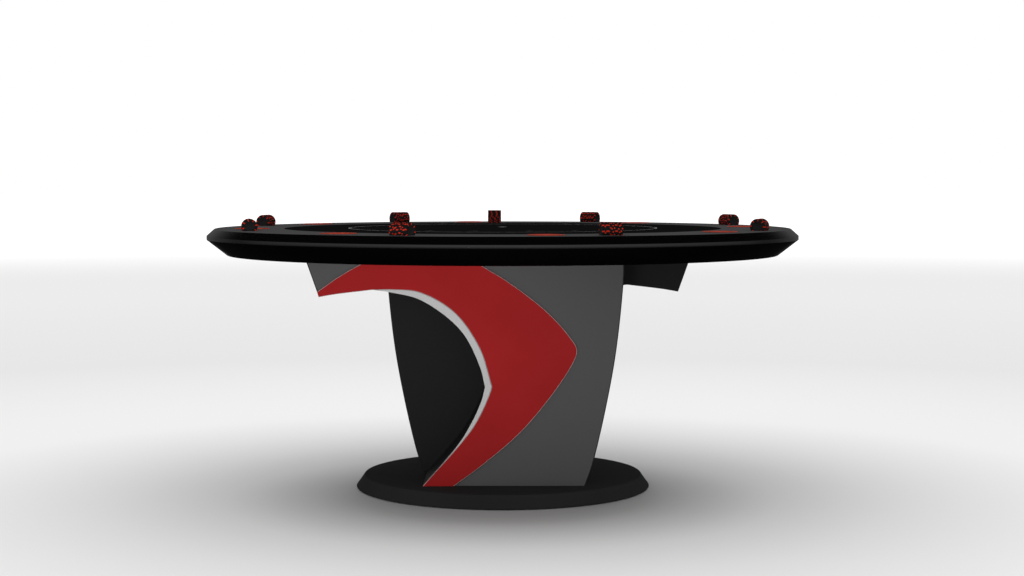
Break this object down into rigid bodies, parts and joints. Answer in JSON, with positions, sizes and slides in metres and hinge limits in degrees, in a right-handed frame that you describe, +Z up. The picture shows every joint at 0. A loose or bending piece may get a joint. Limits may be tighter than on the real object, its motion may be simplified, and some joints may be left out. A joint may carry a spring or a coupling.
{
  "type": "round card table",
  "caption": "Round casino card table: flush black cloth top in a dark rail with drop-in cup holders and chip rows, on a shaped pedestal and round base.",
  "frame": {"origin": "on the floor, on the vertical axis of the round top and base", "axes": "+Z up; -Y is the front, the side whose pedestal half shows its wing on the left; +X to the right seen from the front"},
  "size_m": [1.72, 1.72, 0.8031],
  "materials": {
    "black_lacquer": "gloss black lacquer",
    "rail_laminate": "satin dark grey laminate",
    "black_cloth": "matt black speed cloth",
    "grey_laminate": "satin dark grey laminate",
    "red_panel": "satin dark red",
    "silver_trim": "satin silver",
    "black_laminate": "satin black laminate",
    "orange_cup": "orange-red anodised, satin",
    "chip": "matt moulded, black with orange-red edge spots",
    "plywood": "bare plywood",
    "steel": "plain steel",
    "glide": "matt black"
  },
  "bodies": {
    "table": {"base_cover_plate": "black_laminate", "base_shell": "black_lacquer", "base_weight_ring": "steel", "bed_board": "plywood", "front_back_panel": "black_laminate", "front_bottom_board": "plywood", "front_face_panel": "grey_laminate", "front_notch_skin": "black_laminate", "front_outer_skin": "black_laminate", "front_red_panel": "red_panel", "front_silver_trim": "silver_trim", "front_top_board": "plywood", "front_wing_end": "black_laminate", "glide_1": "glide", "glide_2": "glide", "glide_3": "glide", "glide_4": "glide", "inner_support_ring": "plywood", "outer_support_ring": "plywood", "playing_surface": "black_cloth", "rail_1": "rail_laminate", "rail_2": "rail_laminate", "rail_3": "rail_laminate", "rail_4": "rail_laminate", "rail_5": "rail_laminate", "rail_6": "rail_laminate", "rail_7": "rail_laminate", "rail_8": "rail_laminate", "rear_back_panel": "black_laminate", "rear_bottom_board": "plywood", "rear_face_panel": "grey_laminate", "rear_notch_skin": "black_laminate", "rear_outer_skin": "black_laminate", "rear_red_panel": "red_panel", "rear_silver_trim": "silver_trim", "rear_top_board": "plywood", "rear_wing_end": "black_laminate", "rim": "black_lacquer", "tie_rod_1": "steel", "tie_rod_2": "steel", "tie_rod_3": "steel", "tie_rod_4": "steel", "underside_board": "black_laminate"},
    "cup_holder_1_piece": {"cup_holder_1": "orange_cup"},
    "cup_holder_2_piece": {"cup_holder_2": "orange_cup"},
    "cup_holder_3_piece": {"cup_holder_3": "orange_cup"},
    "cup_holder_4_piece": {"cup_holder_4": "orange_cup"},
    "cup_holder_5_piece": {"cup_holder_5": "orange_cup"},
    "cup_holder_6_piece": {"cup_holder_6": "orange_cup"},
    "cup_holder_7_piece": {"cup_holder_7": "orange_cup"},
    "cup_holder_8_piece": {"cup_holder_8": "orange_cup"},
    "chip_row_1_piece": {"chip_row_1": "chip"},
    "chip_row_2_piece": {"chip_row_2": "chip"},
    "chip_row_3_piece": {"chip_row_3": "chip"},
    "chip_row_4_piece": {"chip_row_4": "chip"},
    "chip_row_5_piece": {"chip_row_5": "chip"},
    "chip_row_6_piece": {"chip_row_6": "chip"},
    "chip_row_7_piece": {"chip_row_7": "chip"},
    "chip_row_8_piece": {"chip_row_8": "chip"},
    "chip_stack_piece": {"chip_stack": "chip"}
  },
  "joints": [
    {"name": "cup_holder_1_lift", "type": "slide", "parent": "table", "child": "cup_holder_1_piece", "axis": [0, 0, 1], "range_m": [0, 0.075]},
    {"name": "cup_holder_2_lift", "type": "slide", "parent": "table", "child": "cup_holder_2_piece", "axis": [0, 0, 1], "range_m": [0, 0.075]},
    {"name": "cup_holder_3_lift", "type": "slide", "parent": "table", "child": "cup_holder_3_piece", "axis": [0, 0, 1], "range_m": [0, 0.075]},
    {"name": "cup_holder_4_lift", "type": "slide", "parent": "table", "child": "cup_holder_4_piece", "axis": [0, 0, 1], "range_m": [0, 0.075]},
    {"name": "cup_holder_5_lift", "type": "slide", "parent": "table", "child": "cup_holder_5_piece", "axis": [0, 0, 1], "range_m": [0, 0.075]},
    {"name": "cup_holder_6_lift", "type": "slide", "parent": "table", "child": "cup_holder_6_piece", "axis": [0, 0, 1], "range_m": [0, 0.075]},
    {"name": "cup_holder_7_lift", "type": "slide", "parent": "table", "child": "cup_holder_7_piece", "axis": [0, 0, 1], "range_m": [0, 0.075]},
    {"name": "cup_holder_8_lift", "type": "slide", "parent": "table", "child": "cup_holder_8_piece", "axis": [0, 0, 1], "range_m": [0, 0.075]},
    {"name": "chip_row_1_lift", "type": "slide", "parent": "table", "child": "chip_row_1_piece", "axis": [0, 0, 1], "range_m": [0, 0.06]},
    {"name": "chip_row_2_lift", "type": "slide", "parent": "table", "child": "chip_row_2_piece", "axis": [0, 0, 1], "range_m": [0, 0.06]},
    {"name": "chip_row_3_lift", "type": "slide", "parent": "table", "child": "chip_row_3_piece", "axis": [0, 0, 1], "range_m": [0, 0.06]},
    {"name": "chip_row_4_lift", "type": "slide", "parent": "table", "child": "chip_row_4_piece", "axis": [0, 0, 1], "range_m": [0, 0.06]},
    {"name": "chip_row_5_lift", "type": "slide", "parent": "table", "child": "chip_row_5_piece", "axis": [0, 0, 1], "range_m": [0, 0.06]},
    {"name": "chip_row_6_lift", "type": "slide", "parent": "table", "child": "chip_row_6_piece", "axis": [0, 0, 1], "range_m": [0, 0.06]},
    {"name": "chip_row_7_lift", "type": "slide", "parent": "table", "child": "chip_row_7_piece", "axis": [0, 0, 1], "range_m": [0, 0.06]},
    {"name": "chip_row_8_lift", "type": "slide", "parent": "table", "child": "chip_row_8_piece", "axis": [0, 0, 1], "range_m": [0, 0.06]},
    {"name": "chip_stack_lift", "type": "slide", "parent": "table", "child": "chip_stack_piece", "axis": [0, 0, 1], "range_m": [0, 0.06]}
  ]
}
